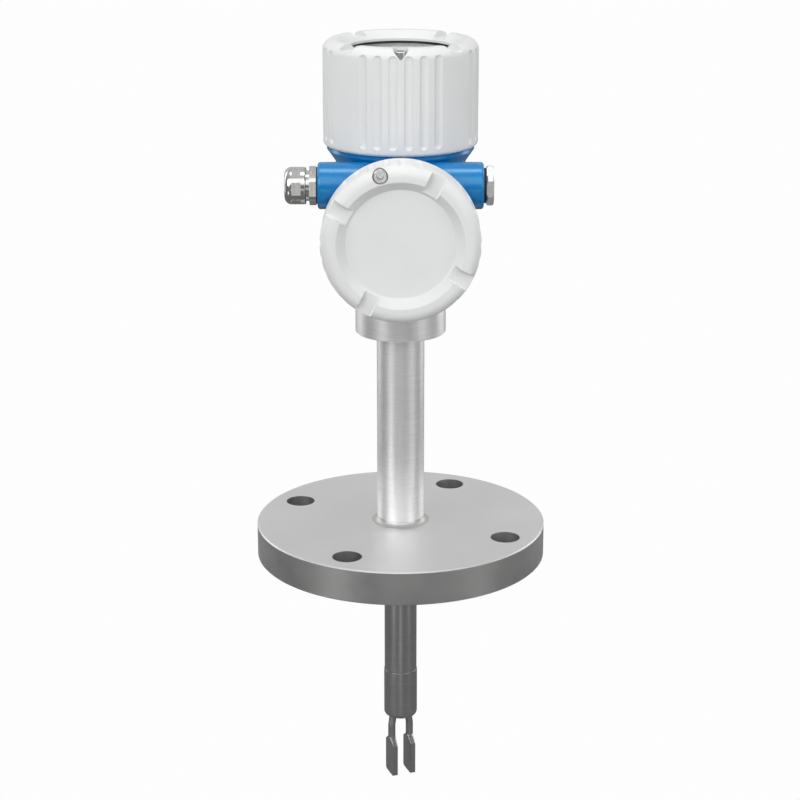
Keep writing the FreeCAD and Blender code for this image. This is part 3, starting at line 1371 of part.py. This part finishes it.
def make_parts():
    """Every node of the level switch by name."""
    parts = {
        "flange": make_flange(),
        "spacer_tube": make_spacer_tube(),
        "upper_weld_bead": weld_bead(SPACER_OD, UPPER_WELD_LEG, FLANGE_TOP_Z, 1),
        "lower_weld_bead": weld_bead(PIPE_OD, LOWER_WELD_LEG, weld_recess_z(), -1),
        "extension_pipe": make_extension_pipe(),
        "tuning_fork": make_tuning_fork(),
        "crystal_stack": make_crystal_stack(),
        "stack_nut": make_stack_nut(),
        "glass_feedthrough": make_glass_feedthrough(),
        "signal_wires": make_signal_wires(),
        "neck_connector": make_neck_connector(),
        "adapter_collar": make_adapter_collar(),
        "neck_seal": make_neck_seal(),
        "snap_ring": make_snap_ring(),
        "housing": make_housing(),
        "neck_screw": make_neck_screw(),
        "outer_ground_clamp": placed(ground_clamp(), outer_ground_place(OUTER_GROUND_RISE)),
        "outer_ground_screw": placed(ground_screw(), outer_ground_place(OUTER_GROUND_RISE)),
        "inner_ground_clamp": placed(ground_clamp(), inner_ground_place(GROUND_BOSS_RISE)),
        "inner_ground_screw": placed(ground_screw(), inner_ground_place(GROUND_BOSS_RISE)),
        "partition_feedthrough": make_partition_feedthrough(),
        "terminal_block": make_terminal_block(),
        "terminal_screws": make_terminal_screws(),
        "electronics_cup": make_electronics_cup(),
        "cup_screws": make_cup_screws(),
        "power_board": make_power_board(),
        "power_components": make_power_components(),
        "board_ribbon": make_board_ribbon(),
        "display_tower": make_display_tower(),
        "main_board": make_main_board(),
        "board_screws": make_board_screws(),
        "display_screen": make_display_screen(),
        "display_backlight": make_display_backlight(),
        "button_switches": make_button_switches(),
        "slider_block": make_slider_block(),
        "upper_cover": make_upper_cover(),
        "glass_gasket": make_glass_gasket(),
        "sight_glass": make_sight_glass(),
        "glass_nut": make_glass_nut(),
        "upper_lock_screw": placed(lock_screw(UPPER_COVER_HEIGHT, UPPER_COVER_CLOCK), UPPER_COVER_PLACE),
        "upper_cover_seal": placed(cover_seal(), UPPER_COVER_PLACE),
        "front_cover": make_front_cover(),
        "front_lock_screw": placed(lock_screw(FRONT_COVER_HEIGHT, FRONT_COVER_CLOCK), FRONT_COVER_PLACE),
        "front_cover_seal": placed(cover_seal(), FRONT_COVER_PLACE),
        "gland_washer": make_gland_washer(),
        "gland_body": make_gland_body(),
        "seal_insert": make_seal_insert(),
        "clamp_ring": make_clamp_ring(),
        "gland_cap_nut": make_cap_nut(),
        "plug_seal": make_plug_seal(),
        "blind_plug": make_blind_plug(),
    }
    for index, x in enumerate(button_places()):
        parts["push_button_%d" % (index + 1)] = make_push_button(x)
    for index, x in enumerate(slider_places()):
        parts["mode_slider_%d" % (index + 1)] = make_slider(x)
    return parts


def main():
    os.makedirs("parts", exist_ok=True)
    for name, shape in make_parts().items():
        shape.exportStep(os.path.join("parts", name + ".step"))
        solids = len(shape.Solids)
        print("%-22s %2d solid %10.1f mm3 valid %s" % (name, solids, shape.Volume, shape.isValid()))


main()
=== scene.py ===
import json
import math

import bpy
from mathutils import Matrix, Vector

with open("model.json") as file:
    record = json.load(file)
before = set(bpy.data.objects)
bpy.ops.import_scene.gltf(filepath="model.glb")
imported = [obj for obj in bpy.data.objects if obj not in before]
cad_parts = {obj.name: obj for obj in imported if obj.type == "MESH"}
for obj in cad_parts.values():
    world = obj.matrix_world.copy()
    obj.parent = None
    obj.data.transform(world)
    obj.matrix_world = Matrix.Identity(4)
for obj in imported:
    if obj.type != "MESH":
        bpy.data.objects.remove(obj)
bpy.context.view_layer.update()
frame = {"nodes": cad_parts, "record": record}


# Studio

STAGE_SIZE = 24
FLOOR_HEIGHT = -0.26
BACKDROP_DISTANCE = 6
STAGE_WHITE = 0.985
STAGE_DULL = 0.30
FLOOR_MIRRORED = 0.22
BACKDROP_MIRRORED = 0.76
SKY_LOW = (0.13, 0.13, 0.135)
SKY_HIGH = (0.62, 0.63, 0.65)
SKY_LOW_END = 0.50
SKY_HIGH_END = 0.95

# Each soft box: place, what it points at, width, height and power in watts

MIDDLE = (0, 0, 0.13)
SOFT_BOXES = {
    "key_left": ((-1.5, -1.5, 1.15), MIDDLE, 1.4, 1.4, 21),
    "fill_right": ((1.7, -1.3, 0.8), MIDDLE, 1.2, 1.4, 13.5),
    "front_box": ((0, -2.05, 1.75), MIDDLE, 2.5, 1.7, 19),
    "top_box": ((0, -0.05, 1.7), MIDDLE, 0.8, 0.46, 4.8),
    "rim_left": ((-1.2, 0.7, 0.4), MIDDLE, 0.5, 1.6, 5),
    "rim_right": ((1.2, 0.7, 0.4), MIDDLE, 0.5, 1.6, 5),
    "low_far": ((0, -1.55, -0.10), (0, 0, 0.14), 0.30, 0.25, 0.38),
    "low_near": ((0, -0.42, -0.24), (0, 0, -0.10), 0.10, 0.10, 0.03),
    "low_left": ((-0.55, -0.50, -0.16), (0, 0, 0.08), 0.20, 0.18, 0.28),
    "low_right": ((0.62, -0.36, -0.16), (0, 0, 0.08), 0.14, 0.18, 0.12),
}

# Camera, in metres, degrees and millimetres of sensor

CAMERA_PLACE = (-0.0004, -1.335, 0.5293)
CAMERA_DOWN = 17.62
CAMERA_SENSOR = 36.0
CAMERA_LENS = CAMERA_SENSOR * 2138.0 / 800.0
CAMERA_NEAR = 0.05
CAMERA_FAR = 60.0


# Sockets of a colour mix, which share their names with those for other kinds of value

MIX_FACTOR = 0
MIX_FIRST = 6
MIX_SECOND = 7
MIX_RESULT = 2


# Procedural materials, with textures in metres of the shared frame


def shade(value):
    """Grey level or colour as four numbers."""
    if isinstance(value, (int, float)):
        return (value, value, value, 1.0)
    return (value[0], value[1], value[2], 1.0)


def scaled(colour, factor):
    """Colour made lighter or darker, kept below white."""
    return tuple(min(1.0, channel * factor) for channel in colour)


class Graph:
    """A material's node tree with a few shorthands."""

    def __init__(self, name):
        self.material = bpy.data.materials.new(name)
        self.material.use_nodes = True
        self.tree = self.material.node_tree
        self.tree.nodes.clear()
        self.output = self.node("ShaderNodeOutputMaterial")
        self.shader = self.node("ShaderNodeBsdfPrincipled")
        self.link(self.shader, "BSDF", self.output, "Surface")
        self.coords = self.node("ShaderNodeTexCoord")

    def node(self, kind, **settings):
        made = self.tree.nodes.new(kind)
        for key, value in settings.items():
            setattr(made, key, value)
        return made

    def link(self, source, out_socket, target, in_socket):
        self.tree.links.new(source.outputs[out_socket], target.inputs[in_socket])

    def mapped(self, scale):
        """Object coordinates stretched by a scale for each axis."""
        mapping = self.node("ShaderNodeMapping")
        mapping.inputs["Scale"].default_value = scale
        self.link(self.coords, "Object", mapping, "Vector")
        return mapping

    def noise(self, scale, stretch=(1, 1, 1), detail=3.0, rough=0.5):
        texture = self.node("ShaderNodeTexNoise")
        texture.inputs["Scale"].default_value = scale
        texture.inputs["Detail"].default_value = detail
        texture.inputs["Roughness"].default_value = rough
        self.link(self.mapped(stretch), "Vector", texture, "Vector")
        return texture

    def rings(self, scale, detail=2.0):
        """Noise that depends only on the distance from the Z axis."""
        flat = self.mapped((1, 1, 0))
        length = self.node("ShaderNodeVectorMath", operation="LENGTH")
        self.link(flat, "Vector", length, 0)
        texture = self.node("ShaderNodeTexNoise", noise_dimensions="1D")
        texture.inputs["Scale"].default_value = scale
        texture.inputs["Detail"].default_value = detail
        self.link(length, "Value", texture, "W")
        return texture

    def ramp(self, source, low, high, start=0.3, end=0.7):
        """Colours or grey levels between two ends of a texture."""
        ramp = self.node("ShaderNodeValToRGB")
        ramp.color_ramp.elements[0].position = start
        ramp.color_ramp.elements[1].position = end
        ramp.color_ramp.elements[0].color = shade(low)
        ramp.color_ramp.elements[1].color = shade(high)
        self.link(source, "Fac", ramp, "Fac")
        return ramp

    def by_slope(self, level, upright):
        """One colour on level faces and another on upright ones; the flange uses it to paint shade
        on its upright faces.
        """
        axes = self.node("ShaderNodeSeparateXYZ")
        self.link(self.coords, "Normal", axes, "Vector")
        slope = self.node("ShaderNodeMath", operation="ABSOLUTE")
        self.link(axes, "Z", slope, 0)
        mix = self.node("ShaderNodeMix", data_type="RGBA")
        self.link(slope, "Value", mix, MIX_FACTOR)
        self.link(upright, "Color", mix, MIX_FIRST)
        self.link(level, "Color", mix, MIX_SECOND)
        return mix

    def bump(self, source, strength, distance, under=None):
        """Relief from a texture, laid over another relief if one is given."""
        bump = self.node("ShaderNodeBump")
        bump.inputs["Strength"].default_value = strength
        bump.inputs["Distance"].default_value = distance
        self.link(source, "Fac", bump, "Height")
        if under is not None:
            self.link(under, "Normal", bump, "Normal")
        return bump

    def finish(self, tint, level, normal, tint_socket="Color", **values):
        """Join colour, roughness and relief to the shader and set its other inputs."""
        self.link(tint, tint_socket, self.shader, "Base Color")
        self.link(level, "Color", self.shader, "Roughness")
        self.link(normal, "Normal", self.shader, "Normal")
        for key, value in values.items():
            self.shader.inputs[key.replace("_", " ")].default_value = value
        return self.material


def powder_coat(name, colour, rough, peel, lumps, sheen, sheen_colour=(1, 1, 1)):
    """Cast aluminium under satin powder coat: fine orange peel and faint handling marks."""
    g = Graph(name)
    smudge = g.noise(14, detail=4.0, rough=0.6)
    tint = g.ramp(smudge, scaled(colour, 0.965), scaled(colour, 1.02))
    wear = g.noise(55, detail=5.0, rough=0.65)
    level = g.ramp(wear, rough - 0.06, rough + 0.07)
    cast = g.bump(g.noise(160, detail=2.0), lumps, 0.0003)
    grain = g.bump(g.noise(1500, detail=2.0), peel, 0.0001, cast)
    return g.finish(tint, level, grain, Specular_IOR_Level=sheen, Specular_Tint=shade(sheen_colour))


def turned_metal(name, colour, rough, stretch, strength=0.25, spread=0.08):
    """Metal with fine tool marks across the stretched direction and dull patches."""
    g = Graph(name)
    marks = g.noise(1.0, stretch, detail=4.0, rough=0.7)
    tint = g.ramp(marks, scaled(colour, 0.86), scaled(colour, 1.10), 0.25, 0.75)
    patches = g.noise(38, detail=4.0, rough=0.6)
    level = g.ramp(patches, rough - spread, rough + spread)
    tooling = g.bump(marks, strength, 0.00006)
    dents = g.bump(g.noise(240, detail=2.0), 0.06, 0.0002, tooling)
    return g.finish(tint, level, dents, Metallic=1.0)


def faced_metal(name, colour, upright_shade, rough):
    """Flange steel: blasted grain over faint turning marks, with painted shade on the rim and in
    holes, whose upright faces take a darker colour.
    """
    g = Graph(name)
    clouds = g.noise(26, detail=4.0, rough=0.6)
    face_tint = g.ramp(clouds, scaled(colour, 0.97), scaled(colour, 1.02))
    # painted shade: the darker colour for upright faces, the rim and the hole walls
    upright_shade_tint = g.ramp(clouds, scaled(upright_shade, 0.90), scaled(upright_shade, 1.08))
    level = g.ramp(clouds, rough - 0.03, rough + 0.04)
    turning = g.bump(g.rings(900), 0.12, 0.00006)
    grain = g.bump(g.noise(700, detail=4.0, rough=0.7), 0.22, 0.00008, turning)
    # level faces keep the steel colour, upright faces take the painted shade
    tint = g.by_slope(face_tint, upright_shade_tint)
    return g.finish(tint, level, grain, MIX_RESULT, Metallic=1.0)


def plastic(name, colour, rough, grain=900, strength=0.12, sheen=0.4):
    """Moulded plastic, glaze or rubber with a fine texture and dull smears."""
    g = Graph(name)
    smear = g.noise(60, detail=3.0)
    tint = g.ramp(smear, scaled(colour, 0.88), scaled(colour, 1.10))
    level = g.ramp(smear, rough - 0.07, rough + 0.07)
    pores = g.bump(g.noise(grain, detail=2.0), strength, 0.0001)
    return g.finish(tint, level, pores, Specular_IOR_Level=sheen)


def glass(name, colour, rough):
    """Clear pane with faint smears."""
    g = Graph(name)
    smear = g.noise(45, detail=4.0)
    level = g.ramp(smear, rough, rough + 0.05)
    tint = g.ramp(smear, scaled(colour, 0.98), colour)
    wave = g.bump(g.noise(9, detail=1.0), 0.02, 0.0004)
    return g.finish(tint, level, wave, Transmission_Weight=1.0, IOR=1.5)


# Finish of each material slot: its maker, then that maker's arguments in order

FINISHES = {
    # flange_steel: its second colour is painted shade for the rim and the hole walls
    "flange_steel": (faced_metal, (0.70, 0.695, 0.69), (0.43, 0.43, 0.425), 0.48),
    "tube_steel": (turned_metal, (0.93, 0.925, 0.915), 0.45, (60, 60, 2600), 0.12, 0.03),
    "weld_steel": (turned_metal, (0.50, 0.495, 0.485), 0.46, (300, 300, 900), 0.3),
    # wetted_steel: set far darker than tube_steel, as painted shade on the pipe and fork below the
    # flange
    "wetted_steel": (turned_metal, (0.44, 0.44, 0.44), 0.34, (60, 60, 1800), 0.2, 0.05),
    "inner_steel": (turned_metal, (0.55, 0.55, 0.55), 0.35, (200, 200, 900)),
    "inner_aluminium": (turned_metal, (0.62, 0.62, 0.62), 0.35, (300, 300, 1500)),
    "screw_steel": (turned_metal, (0.60, 0.60, 0.58), 0.30, (500, 500, 1500)),
    "lock_steel": (turned_metal, (0.66, 0.655, 0.64), 0.26, (600, 600, 1500)),
    "nickel_brass": (turned_metal, (0.56, 0.555, 0.54), 0.22, (900, 100, 100), 0.10, 0.04),
    "plug_brass": (turned_metal, (0.76, 0.755, 0.74), 0.44, (900, 200, 200), 0.15, 0.05),
    "terminal_brass": (turned_metal, (0.72, 0.62, 0.42), 0.30, (500, 500, 500)),
    "blue_paint": (powder_coat, (0.0, 0.172, 0.45), 0.22, 0.03, 0.02, 0.95, (0.55, 0.85, 1.0)),
    "white_paint": (powder_coat, (0.75, 0.753, 0.747), 0.50, 0.12, 0.08, 0.14),
    "ceramic": (plastic, (0.70, 0.66, 0.56), 0.55),
    "wire_jacket": (plastic, (0.70, 0.70, 0.66), 0.50),
    "black_plastic": (plastic, (0.03, 0.03, 0.034), 0.50),
    "seal_rubber": (plastic, (0.018, 0.018, 0.018), 0.70),
    "terminal_plastic": (plastic, (0.05, 0.22, 0.09), 0.48),
    "board_green": (plastic, (0.02, 0.17, 0.06), 0.32, 500),
    "tower_plastic": (plastic, (0.05, 0.055, 0.06), 0.46),
    "screen_glass": (plastic, (0.20, 0.25, 0.19), 0.15, 300, 0.03, 0.6),
    "backlight_plastic": (plastic, (0.80, 0.80, 0.76), 0.40),
    "button_plastic": (plastic, (0.62, 0.62, 0.60), 0.38),
    "slider_plastic": (plastic, (0.80, 0.80, 0.74), 0.38),
    "feedthrough_glass": (plastic, (0.20, 0.28, 0.24), 0.15, 300, 0.05, 0.6),
    "window_glass": (glass, (0.93, 0.97, 0.95), 0.01),
}


def dress_nodes():
    """Every CAD node takes the material of its slot."""
    materials = {name: maker(name, *values) for name, (maker, *values) in FINISHES.items()}
    slots = {part["node"]: part["material_slot"] for part in frame["record"]["subparts"]}
    for name, node in frame["nodes"].items():
        node.data.materials.clear()
        node.data.materials.append(materials[slots[name]])


def show_white_to_camera(tree, output_kind, room, white):
    """The white shader for camera rays, the room's for all others."""
    path = tree.nodes.new("ShaderNodeLightPath")
    mix = tree.nodes.new("ShaderNodeMixShader")
    output = tree.nodes.new(output_kind)
    tree.links.new(path.outputs["Is Camera Ray"], mix.inputs["Fac"])
    tree.links.new(room, mix.inputs[1])
    tree.links.new(white, mix.inputs[2])
    tree.links.new(mix.outputs["Shader"], output.inputs["Surface"])


def stage_material(name, mirrored):
    """White to the camera, a set grey in mirror reflections, dull grey to all other rays."""
    material = bpy.data.materials.new(name)
    material.use_nodes = True
    tree = material.node_tree
    tree.nodes.clear()
    path = tree.nodes.new("ShaderNodeLightPath")
    room = tree.nodes.new("ShaderNodeMixShader")
    dull = tree.nodes.new("ShaderNodeBsdfDiffuse")
    mirror = tree.nodes.new("ShaderNodeEmission")
    white = tree.nodes.new("ShaderNodeEmission")
    dull.inputs["Color"].default_value = shade(STAGE_DULL)
    mirror.inputs["Color"].default_value = shade(mirrored)
    white.inputs["Color"].default_value = shade(STAGE_WHITE)
    tree.links.new(path.outputs["Is Glossy Ray"], room.inputs["Fac"])
    tree.links.new(dull.outputs["BSDF"], room.inputs[1])
    tree.links.new(mirror.outputs["Emission"], room.inputs[2])
    show_white_to_camera(tree, "ShaderNodeOutputMaterial", room.outputs["Shader"],
                         white.outputs["Emission"])
    return material


def add_plane(name, location, rotation, mirrored):
    """Floor or backdrop, with a stage material."""
    bpy.ops.mesh.primitive_plane_add(size=STAGE_SIZE, location=location, rotation=rotation)
    plane = bpy.context.object
    plane.name = name
    plane.data.materials.append(stage_material("stage_" + name, mirrored))


def add_soft_box(name, location, target, width, height, power):
    """Rectangular light that faces its target."""
    light = bpy.data.lights.new(name, "AREA")
    light.shape = "RECTANGLE"
    light.size = width
    light.size_y = height
    light.energy = power
    lamp = bpy.data.objects.new(name, light)
    bpy.context.scene.collection.objects.link(lamp)
    lamp.location = location
    aim = Vector(target) - Vector(location)
    lamp.rotation_euler = aim.to_track_quat("-Z", "Y").to_euler()


def light_world():
    """Soft grey surroundings, brighter above, white where the camera looks past the stage."""
    world = bpy.data.worlds.new("studio")
    bpy.context.scene.world = world
    world.use_nodes = True
    tree = world.node_tree
    tree.nodes.clear()
    coords = tree.nodes.new("ShaderNodeTexCoord")
    split = tree.nodes.new("ShaderNodeSeparateXYZ")
    height = tree.nodes.new("ShaderNodeMapRange")
    height.inputs["From Min"].default_value = -1.0
    height.inputs["From Max"].default_value = 1.0
    ramp = tree.nodes.new("ShaderNodeValToRGB")
    ramp.color_ramp.elements[0].position = SKY_LOW_END
    ramp.color_ramp.elements[0].color = shade(SKY_LOW)
    ramp.color_ramp.elements[1].position = SKY_HIGH_END
    ramp.color_ramp.elements[1].color = shade(SKY_HIGH)
    room = tree.nodes.new("ShaderNodeBackground")
    white = tree.nodes.new("ShaderNodeBackground")
    white.inputs["Color"].default_value = shade(STAGE_WHITE)
    tree.links.new(coords.outputs["Generated"], split.inputs["Vector"])
    tree.links.new(split.outputs["Z"], height.inputs["Value"])
    tree.links.new(height.outputs["Result"], ramp.inputs["Fac"])
    tree.links.new(ramp.outputs["Color"], room.inputs["Color"])
    show_white_to_camera(tree, "ShaderNodeOutputWorld", room.outputs["Background"],
                         white.outputs["Background"])


def add_camera():
    """Camera at the photo's height and angle."""
    data = bpy.data.cameras.new("photo_camera")
    data.sensor_width = CAMERA_SENSOR
    data.lens = CAMERA_LENS
    data.clip_start = CAMERA_NEAR
    data.clip_end = CAMERA_FAR
    camera = bpy.data.objects.new("photo_camera", data)
    bpy.context.scene.collection.objects.link(camera)
    camera.location = CAMERA_PLACE
    camera.rotation_euler = (math.radians(90 - CAMERA_DOWN), 0, 0)
    bpy.context.scene.camera = camera


dress_nodes()
add_plane("floor", (0, 0, FLOOR_HEIGHT), (0, 0, 0), FLOOR_MIRRORED)
add_plane("backdrop", (0, BACKDROP_DISTANCE, 0), (math.radians(90), 0, 0), BACKDROP_MIRRORED)
for box, values in SOFT_BOXES.items():
    add_soft_box(box, *values)
light_world()
add_camera()
bpy.context.scene.view_settings.view_transform = "Standard"
